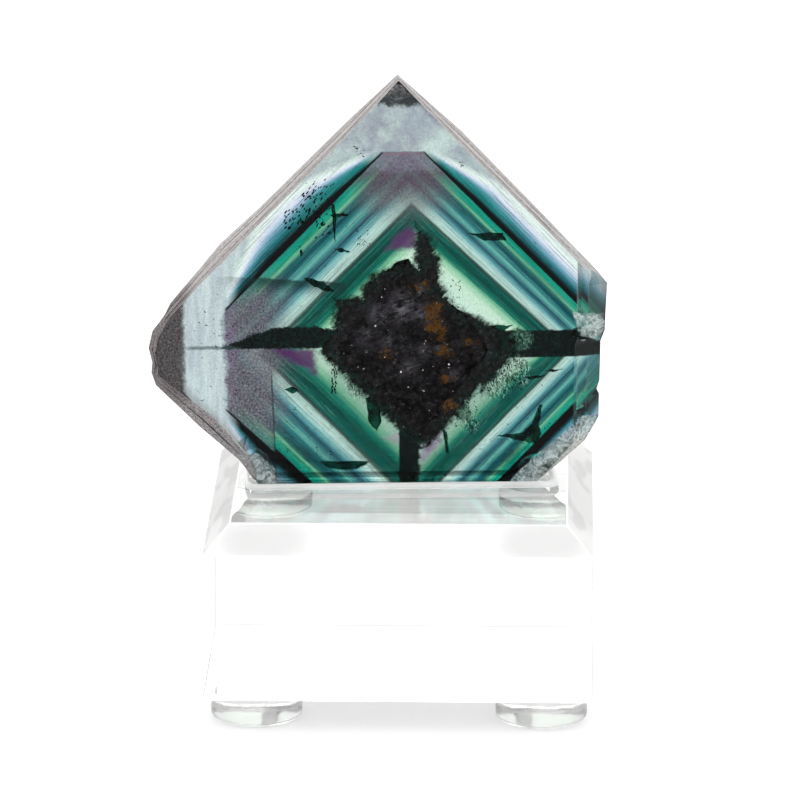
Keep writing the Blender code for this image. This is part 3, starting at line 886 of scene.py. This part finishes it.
class StageSettings(bpy.types.PropertyGroup):
    """The camera, the floor and the light."""

    lens: FloatProperty(name="Lens", description="Focal length", default=297.9, unit="CAMERA")
    distance: FloatProperty(
        name="Distance", description="From the camera to the point it looks at", default=0.949,
        unit="LENGTH",
    )
    azimuth: FloatProperty(
        name="Azimuth", description="Camera's turn round the object", default=math.radians(1.4),
        unit="ROTATION",
    )
    elevation: FloatProperty(
        name="Elevation", description="Camera's height angle", default=math.radians(15.31),
        unit="ROTATION",
    )
    target: FloatVectorProperty(
        name="Target", description="Point that the camera looks at", default=(0.0031, 0.0, 0.04095),
        subtype="TRANSLATION", unit="LENGTH",
    )
    floor_reach: FloatProperty(
        name="Floor reach", description="Half the floor's side", default=6.0, unit="LENGTH"
    )
    floor_glow: FloatProperty(
        name="Floor glow", description="Light that the white table gives off by itself", default=0.48
    )
    surround: FloatProperty(
        name="Surround light", description="Brightness of the white surround", default=1.2
    )
    overhead: FloatProperty(
        name="Overhead light", description="Power of the soft light above", default=0.8, unit="POWER"
    )
    backdrop: FloatProperty(
        name="Backdrop light", description="Power of the white panel behind", default=7.0, unit="POWER"
    )


class StandSettings(bpy.types.PropertyGroup):
    """The clear block, its feet and the glue."""

    acrylic_tint: FloatVectorProperty(
        name="Acrylic tint", description="Colour of the clear acrylic", default=(0.992, 0.993, 0.991),
        subtype="COLOR",
    )
    acrylic_ior: FloatProperty(name="Acrylic IOR", description="Refraction of the acrylic", default=1.49)
    acrylic_density: FloatProperty(
        name="Acrylic absorption", description="How strongly thick acrylic takes up light", default=5.0
    )
    edge_break_area: FloatProperty(
        name="Edge break area", description="Faces under this size are edge breaks", default=20e-6,
        unit="AREA",
    )
    foot_steps: IntProperty(name="Foot steps", description="Sides of each turned foot", default=96)
    top_haze: FloatProperty(name="Top haze", description="Matte share behind the slice", default=0.10)
    bevel_satin: FloatProperty(name="Bevel satin", description="Matte share of the bevels", default=0.20)
    bevel_roughness: FloatProperty(
        name="Bevel roughness", description="How ground the bevels are", default=0.3
    )
    foot_ior: FloatProperty(name="Foot IOR", description="Refraction of the soft plastic", default=1.47)
    foot_haze: FloatProperty(name="Foot haze", description="Roughness of the soft plastic", default=0.10)
    foot_milk: FloatProperty(name="Foot milkiness", description="Matte share of the feet", default=0.02)
    adhesive_contact: FloatProperty(
        name="Adhesive contact", description="Share of the joint that the adhesive wets", default=0.62
    )
    glue_ior: FloatProperty(name="Glue IOR", description="Refraction of the wetted glue", default=1.2)
    glue_cloud: FloatProperty(name="Glue cloud", description="Matte share of the glue", default=0.50)


class SliceSettings(bpy.types.PropertyGroup):
    """The fluorite slice and what lies in it."""

    fluorite_ior: FloatProperty(name="Fluorite IOR", description="Refraction of fluorite", default=1.434)
    fluorite_gloss: FloatProperty(
        name="Gloss", description="Strength of the polish's reflections", default=0.15
    )
    seed: IntProperty(name="Seed", description="Seed of the scattered inclusions", default=7)
    # Painted glints: the sparkles are small white grains on the core that stand in for glints.
    sparkles: IntProperty(name="Sparkles", description="Bright grains in the core", default=30)
    zone_depth: FloatProperty(
        name="Zone depth", description="Share of light that the palest zones let through", default=0.80
    )


def aim(thing, place, way):
    """Puts a lamp or camera at a place and turns it along a direction."""
    thing.location = place
    thing.rotation_euler = way.to_track_quat("-Z", "Y").to_euler()
    bpy.context.scene.collection.objects.link(thing)


class FLUORITE_OT_stage(bpy.types.Operator):
    """Make the floor, the surround, the soft light and the camera"""

    bl_idname = "fluorite.make_stage"
    bl_label = "Stage"

    def execute(self, context):
        settings = context.scene.fluorite_stage
        self.make_floor(settings)
        self.make_surround(context, settings)
        self.make_panel("soft overhead", settings.overhead, *OVERHEAD_PANEL, settings.target)
        self.make_panel("white backdrop", settings.backdrop, *BACKDROP_PANEL, settings.target)
        self.make_camera(context, settings)
        return {"FINISHED"}

    def make_floor(self, settings):
        shape = bmesh.new()
        bmesh.ops.create_grid(shape, x_segments=1, y_segments=1, size=settings.floor_reach)
        bmesh.ops.translate(shape, vec=(0.0, 0.0, -FLOOR_GAP), verts=shape.verts)
        recipe = Recipe("white floor", unit=1.0)
        tone = recipe.blend(recipe.grain(3.0, 2.0), (0.775, 0.775, 0.775), (0.785, 0.785, 0.785))
        finish = recipe.finish(recipe.surface(
            Base_Color=tone, Roughness=0.9, Specular_IOR_Level=0.1, Emission_Color=(1.0, 1.0, 1.0, 1.0),
            Emission_Strength=settings.floor_glow,
        ))
        new_object("floor", shape, (finish,))

    def make_surround(self, context, settings):
        world = bpy.data.worlds.new("white surround")
        world.use_nodes = True
        background = world.node_tree.nodes["Background"]
        background.inputs["Color"].default_value = (1.0, 1.0, 1.0, 1.0)
        background.inputs["Strength"].default_value = settings.surround
        context.scene.world = world

    def make_panel(self, name, power, size, place, target):
        """A soft white panel that faces the object."""
        light = bpy.data.lights.new(name, "AREA")
        light.shape = "RECTANGLE"
        light.size, light.size_y = size
        light.energy = power
        aim(bpy.data.objects.new(name, light), place, Vector(target) - Vector(place))

    def make_camera(self, context, settings):
        camera = bpy.data.cameras.new("camera")
        camera.lens = settings.lens
        camera.sensor_width = 36.0
        camera.clip_end = 50.0
        eye = bpy.data.objects.new("camera", camera)
        level = math.cos(settings.elevation)
        across, along = math.sin(settings.azimuth) * level, -math.cos(settings.azimuth) * level
        back = Vector((across, along, math.sin(settings.elevation)))
        aim(eye, Vector(settings.target) + back * settings.distance, -back)
        context.scene.camera = eye
        context.scene.view_settings.view_transform = "Standard"


def foot_plan(node):
    """The middle of a foot and its radius."""
    low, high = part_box(node)
    return (low + high) / 2, (high.x - low.x) / 2


class FLUORITE_OT_block(bpy.types.Operator):
    """Dress the acrylic block and open its bonded joints to the feet"""

    bl_idname = "fluorite.make_block"
    bl_label = "Acrylic block"

    def execute(self, context):
        settings = context.scene.fluorite_stand
        shape = merged_copy("acrylic_block")
        bmesh.ops.dissolve_limit(shape, angle_limit=math.radians(1.0), verts=shape.verts, edges=shape.edges)
        low = min(v.co.z for v in shape.verts)
        under = [f for f in shape.faces if all(v.co.z < low + 0.01 * MM for v in f.verts)]
        if len(under) != 1:
            raise RuntimeError("the block's underside isn't one flat face")
        rim = list(under[0].edges)
        bmesh.ops.delete(shape, geom=under, context="FACES_ONLY")
        discs = []
        for node in FEET:
            middle, radius = foot_plan(node)
            made = bmesh.ops.create_circle(
                shape, cap_ends=True, segments=settings.foot_steps, radius=radius * FOOT_JOINT,
                matrix=Matrix.Translation((middle.x, middle.y, low)),
            )
            disc = made["verts"][0].link_faces[0]
            discs.append(disc)
            rim += list(disc.edges)
        bmesh.ops.triangle_fill(shape, use_beauty=True, use_dissolve=False, edges=rim, normal=(0, 0, -1))
        for disc in discs:
            disc.material_index = BOND
        bmesh.ops.recalc_face_normals(shape, faces=shape.faces)
        for face in shape.faces:
            if face.normal.z > LEVEL:
                face.material_index = TOP
            elif face.normal.z > -LEVEL and face.calc_area() < settings.edge_break_area:
                face.material_index = EDGE
            elif face.normal.z > 0.2:
                face.material_index = BEVEL
        materials = (
            acrylic_finish(settings), bonded_finish(settings), top_finish(settings), bevel_finish(settings),
            edge_finish(),
        )
        new_piece("clear_block", shape, materials, "acrylic_block")
        return {"FINISHED"}


class FLUORITE_OT_feet(bpy.types.Operator):
    """Turn the four clear feet, bonded to the block's underside"""

    bl_idname = "fluorite.make_feet"
    bl_label = "Feet"

    def execute(self, context):
        settings = context.scene.fluorite_stand
        materials = (bumper_finish(settings), bonded_finish(settings))
        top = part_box("acrylic_block")[0].z - 0.004 * MM
        for node in FEET:
            middle, radius = foot_plan(node)
            shape = self.turned_foot(radius, top, settings.foot_steps)
            for face in shape.faces:
                bonded = all(v.co.z > top - 0.001 * MM for v in face.verts)
                face.material_index = 1 if bonded else 0
                face.smooth = not bonded
            bmesh.ops.translate(shape, vec=(middle.x, middle.y, 0.0), verts=shape.verts)
            foot = new_piece("clear_" + node, shape, materials, node)
            foot.data.set_sharp_from_angle(angle=math.radians(35.0))
        return {"FINISHED"}

    def turned_foot(self, radius, top, steps):
        """A foot turned round Z, with a broken upper edge and a rounded lower one."""
        profile = [(0.0, top), (radius * FOOT_JOINT, top)]
        profile += [(radius * 0.985, top - 0.12 * MM), (radius, top - 0.5 * MM)]
        for step in range(ROUNDING_STEPS + 1):
            turn = math.radians(90.0) * step / ROUNDING_STEPS
            inset, rise = 1 - math.cos(turn), 1 - math.sin(turn)
            profile.append((radius - FOOT_ROUNDING * inset, FOOT_ROUNDING * rise))
        profile += [(radius * 0.5, 0.0), (0.0, 0.0)]
        shape = bmesh.new()
        ring = [shape.verts.new((across, 0.0, height)) for across, height in profile]
        edges = [shape.edges.new(pair) for pair in zip(ring, ring[1:])]
        bmesh.ops.spin(
            shape, geom=ring + edges, cent=(0, 0, 0), axis=(0, 0, 1), angle=math.tau, steps=steps,
            use_merge=True,
        )
        bmesh.ops.remove_doubles(shape, verts=shape.verts, dist=0.001 * MM)
        bmesh.ops.recalc_face_normals(shape, faces=shape.faces)
        return shape


class FLUORITE_OT_glue(bpy.types.Operator):
    """Dress the glue: a clear pad under the slice and a cloudy lip round it"""

    bl_idname = "fluorite.make_glue"
    bl_label = "Glue line"

    def execute(self, context):
        settings = context.scene.fluorite_stand
        shape = merged_copy("glue_line")
        for face in shape.faces:
            face.material_index = 1 if abs(face.normal.z) > LEVEL else 0
        materials = (glue_finish(settings), pad_finish())
        glue = new_piece("cured_glue", shape, materials, "glue_line")
        glue.data.shade_smooth()
        glue.data.set_sharp_from_angle(angle=math.radians(40.0))
        return {"FINISHED"}


class FLUORITE_OT_slice(bpy.types.Operator):
    """Dress the fluorite slice: polished faces, grey skin, rough core and sawn base"""

    bl_idname = "fluorite.make_slice"
    bl_label = "Fluorite slice"

    def execute(self, context):
        settings = context.scene.fluorite_slice
        shape = merged_copy("fluorite_slice")
        to_slice = Matrix.Rotation(-SLICE_TURN, 4, "Z") @ Matrix.Translation(-SLICE_BASE)
        self.fade_relief(shape, to_slice)
        self.smooth_facet(shape, to_slice)
        shape.normal_update()
        core = []
        for face in shape.faces:
            out = to_slice.to_3x3() @ face.normal
            middle = to_slice @ face.calc_center_median() / MM
            open_face = abs(out.y) > SQUARE_ON or self.is_dented(face, out, middle, to_slice)
            face.material_index = POLISHED if open_face else BASE if out.z < -LEVEL else SKIN
            if self.core_share(middle) < CORE_EDGE:
                face.material_index = POLISHED
                if reach_outside(CORE_SHAPES, middle.x, middle.z) < -CORE_RIM:
                    face.material_index = ROUGH
                    core.append(face)
        self.roughen(shape, core, to_slice)
        polished = fluorite_finish(
            settings, "zoned fluorite polished", settings.fluorite_ior, settings.zone_depth,
        )
        base = fluorite_finish(settings, "zoned fluorite sawn base", 1.0, 1.0)
        materials = (polished, skin_finish(settings), core_finish(), base)
        new_piece("zoned_slice", shape, materials, "fluorite_slice")
        return {"FINISHED"}

    @staticmethod
    def is_dented(face, out, middle, to_slice):
        """Tells whether a face belongs to the facet, a dent of the polished front or a chip."""
        facet = out.y < -0.3 and middle.x > FACET_LEFT and FACET_LOW < middle.z < FACET_HIGH
        chipped = out.y < -0.5 and middle.x > CHIP_LEFT and middle.z < FACET_LOW
        depths = [(to_slice @ vert.co / MM).y for vert in face.verts]
        dented = max(depths) < GROWTH_LEDGES[0][0] - 0.02 and max(depths) - min(depths) > 0.01
        return facet or dented or chipped

    @staticmethod
    def core_share(place):
        """How far out a place lies in the rough diamond of the core's relief: 1 at its edge."""
        across, height = abs(place.x - CORE_CENTRE[0]), abs(place.z - CORE_CENTRE[1])
        return across / CORE_REACH[0] + height / CORE_REACH[1]

    def fade_relief(self, shape, to_slice):
        """Lets the core's relief run out to the polished face where the dark core ends."""
        back = to_slice.inverted()
        for vert in shape.verts:
            place = to_slice @ vert.co / MM
            face_depth = 0.0 if place.y < SLICE_THICKNESS / 2 else SLICE_THICKNESS
            if self.core_share(place) > RELIEF_EDGE or abs(place.y - face_depth) > RELIEF_DEPTH:
                continue
            inside = -reach_outside(CORE_SHAPES, place.x, place.z)
            keep = min(max((inside - CORE_RIM) / CORE_FADE, 0.0), 1.0)
            place.y = face_depth + (place.y - face_depth) * keep
            vert.co = back @ (place * MM)
        bmesh.ops.remove_doubles(shape, verts=shape.verts, dist=0.002 * MM)
        bmesh.ops.dissolve_degenerate(shape, edges=shape.edges, dist=0.001 * MM)

    def smooth_facet(self, shape, to_slice):
        """Takes the growth ledges off the see-through facet on the right."""
        back = to_slice.inverted()
        for vert in shape.verts:
            place = to_slice @ vert.co / MM
            for depth, step in GROWTH_LEDGES:
                if place.x > LEDGES_END and abs(place.y - depth) < 0.01:
                    inwards = Vector((-place.x, 0.0, LEDGES_CENTRE - place.z)).normalized()
                    vert.co = back @ ((place - inwards * step) * MM)

    def roughen(self, shape, core, to_slice):
        """Breaks the core's open faces into small steps and grains."""
        edges = dict.fromkeys(edge for face in core for edge in face.edges if len(edge.link_faces) == 2)
        edges = [edge for edge in edges if all(face.material_index == ROUGH for face in edge.link_faces)]
        bmesh.ops.subdivide_edges(shape, edges=edges, cuts=2, use_grid_fill=True)
        inner = [
            vert for vert in shape.verts
            if vert.link_faces and all(face.material_index == ROUGH for face in vert.link_faces)
        ]
        back = to_slice.inverted().to_3x3()
        for vert in inner:
            place = to_slice @ vert.co / MM
            into = back @ Vector((0.0, 1.0 if place.y < SLICE_THICKNESS / 2 else -1.0, 0.0))
            depth = sum(noise.noise(place * scale) * height for scale, height in CORE_GRAINS)
            vert.co += into * depth * MM


def inclusion_finish():
    """Dark grains grown into the crystal."""
    recipe = Recipe("dark inclusion")
    grit = recipe.grain(3.0, 4.0, 0.7)
    tone = recipe.blend(grit.smooth(0.45, 0.65), (0.02, 0.04, 0.04), (0.08, 0.16, 0.14))
    return recipe.finish(recipe.surface(Base_Color=tone, Roughness=0.5, Specular_IOR_Level=0.2))


def glint_grain_finish():
    """Small grains on the core, white as painted glints."""
    recipe = Recipe("white glint grain")
    grit = recipe.grain(2.0, 3.0)
    tone = recipe.blend(grit.smooth(0.4, 0.6), (0.95, 0.93, 0.92), (0.80, 0.78, 0.78))
    return recipe.finish(recipe.surface(Base_Color=tone, Roughness=0.2))


def flake_finish():
    """Thin dark green flakes that some light still crosses."""
    recipe = Recipe("dark green flake")
    patches = recipe.grain(1.1, 5.0, 0.7)
    tone = recipe.blend(patches.smooth(0.38, 0.60), (0.02, 0.10, 0.09), (0.12, 0.42, 0.37))
    return recipe.finish(recipe.straight(tone))


class FLUORITE_OT_inclusions(bpy.types.Operator):
    """Make the dark flakes and grains inside the crystal, and the core's small white grains that are
    painted glints
    """

    bl_idname = "fluorite.make_inclusions"
    bl_label = "Inclusions"

    def execute(self, context):
        settings = context.scene.fluorite_slice
        self.random = random.Random(settings.seed)
        self.shape = bmesh.new()
        for corners, depth in FLAKES:
            self.add_flake(corners, depth)
        for face in self.shape.faces:
            face.material_index = 1
        for swarm in SWARMS:
            self.add_swarm(*swarm)
        self.place_piece("dark_inclusions", (inclusion_finish(), flake_finish()))
        self.shape = bmesh.new()
        for _ in range(settings.sparkles):
            self.add_sparkle()
        self.place_piece("glint_grains", (glint_grain_finish(),))
        return {"FINISHED"}

    def place_piece(self, name, materials):
        """Moves the shape from the slice's own millimetres to where it stands, as a piece."""
        verts = self.shape.verts
        bmesh.ops.scale(self.shape, vec=(MM, MM, MM), verts=verts)
        turn = Matrix.Rotation(SLICE_TURN, 3, "Z")
        bmesh.ops.rotate(self.shape, cent=(0, 0, 0), matrix=turn, verts=verts)
        bmesh.ops.translate(self.shape, vec=SLICE_BASE, verts=verts)
        bmesh.ops.recalc_face_normals(self.shape, faces=self.shape.faces)
        new_piece(name, self.shape, materials)

    def inside(self, across, height, depth):
        """A point that shows at (across, height) on the front face when it lies at a depth."""
        drift = ZONE_DRIFT + ZONE_SPREAD * across
        lean = ZONE_LEAN - ZONE_SPREAD * height
        return Vector((across + drift * depth, depth, height - lean * depth))

    def add_flake(self, corners, depth):
        """A thin flake with ragged edges and an uneven back."""
        rim = [self.shape.verts.new(self.inside(u, z, depth)) for u, z in corners]
        face = self.shape.faces.new(rim)
        cut = bmesh.ops.subdivide_edges(self.shape, edges=list(face.edges), cuts=4)
        fresh = dict.fromkeys(cut["geom_inner"])
        for vert in [g for g in fresh if isinstance(g, bmesh.types.BMVert)]:
            vert.co.x += self.random.uniform(-0.10, 0.10)
            vert.co.z += self.random.uniform(-0.12, 0.12)
        grown = bmesh.ops.extrude_face_region(self.shape, geom=[face])
        moved = [g for g in grown["geom"] if isinstance(g, bmesh.types.BMVert)]
        for vert in moved:
            vert.co.y += 0.08 + self.random.uniform(0.0, 0.06)

    def add_swarm(self, low, high, count, size, lean):
        """Small grains spread over a box of the face, drawn out along a direction."""
        for _ in range(count):
            across = self.random.uniform(low[0], high[0])
            height = self.random.uniform(low[1], high[1])
            depth = self.random.uniform(0.3, 3.0)
            long = size * self.random.uniform(0.5, 1.6)
            turn = Matrix.Rotation(math.radians(lean + self.random.uniform(-14.0, 14.0)), 4, "Y")
            form = Matrix.Diagonal((long, size * 0.35, size * self.random.uniform(0.3, 0.6), 1.0))
            place = Matrix.Translation(self.inside(across, height, depth)) @ turn @ form
            if abs(across - SWARM_APEX[0]) < (SWARM_APEX[1] - height) * SWARM_SPREAD:
                bmesh.ops.create_icosphere(self.shape, subdivisions=1, radius=0.5, matrix=place)

    def add_sparkle(self):
        """A small cube on the core's front or back, white as a painted glint."""
        way = self.random.uniform(0.0, math.tau)
        reach = math.sqrt(self.random.random()) * 0.72
        across = CORE_CENTRE[0] + CORE_REACH[0] * reach * math.cos(way)
        height = CORE_CENTRE[1] + CORE_REACH[1] * reach * math.sin(way)
        size = self.random.choice((0.08, 0.10, 0.13, 0.20))
        turn = Matrix.Rotation(self.random.uniform(0.0, math.tau), 4, Vector((1.0, 0.5, 0.3)))
        depth = self.random.choice((0.35, SLICE_THICKNESS - 0.35))
        place = Matrix.Translation((across, depth, height)) @ turn
        bmesh.ops.create_cube(self.shape, size=size, matrix=place)


class FLUORITE_PT_panel(bpy.types.Panel):
    """Lists the pieces in the order they are made"""

    bl_label = "Fluorite slice on stand"
    bl_idname = "FLUORITE_PT_panel"
    bl_space_type = "VIEW_3D"
    bl_region_type = "UI"
    bl_category = "Fluorite"

    def draw(self, context):
        for operator in OPERATORS:
            self.layout.operator(operator.bl_idname)


SETTINGS = {
    "fluorite_stage": StageSettings,
    "fluorite_stand": StandSettings,
    "fluorite_slice": SliceSettings,
}
OPERATORS = (
    FLUORITE_OT_stage,
    FLUORITE_OT_block,
    FLUORITE_OT_feet,
    FLUORITE_OT_glue,
    FLUORITE_OT_slice,
    FLUORITE_OT_inclusions,
)
CLASSES = (*SETTINGS.values(), *OPERATORS, FLUORITE_PT_panel)


def register():
    for group in CLASSES:
        bpy.utils.register_class(group)
    for name, group in SETTINGS.items():
        setattr(bpy.types.Scene, name, PointerProperty(type=group))


def unregister():
    for name in SETTINGS:
        delattr(bpy.types.Scene, name)
    for group in reversed(CLASSES):
        bpy.utils.unregister_class(group)


def main():
    register()
    bpy.ops.fluorite.make_stage()
    bpy.ops.fluorite.make_block()
    bpy.ops.fluorite.make_feet()
    bpy.ops.fluorite.make_glue()
    bpy.ops.fluorite.make_slice()
    bpy.ops.fluorite.make_inclusions()


if __name__ == "__main__":
    main()
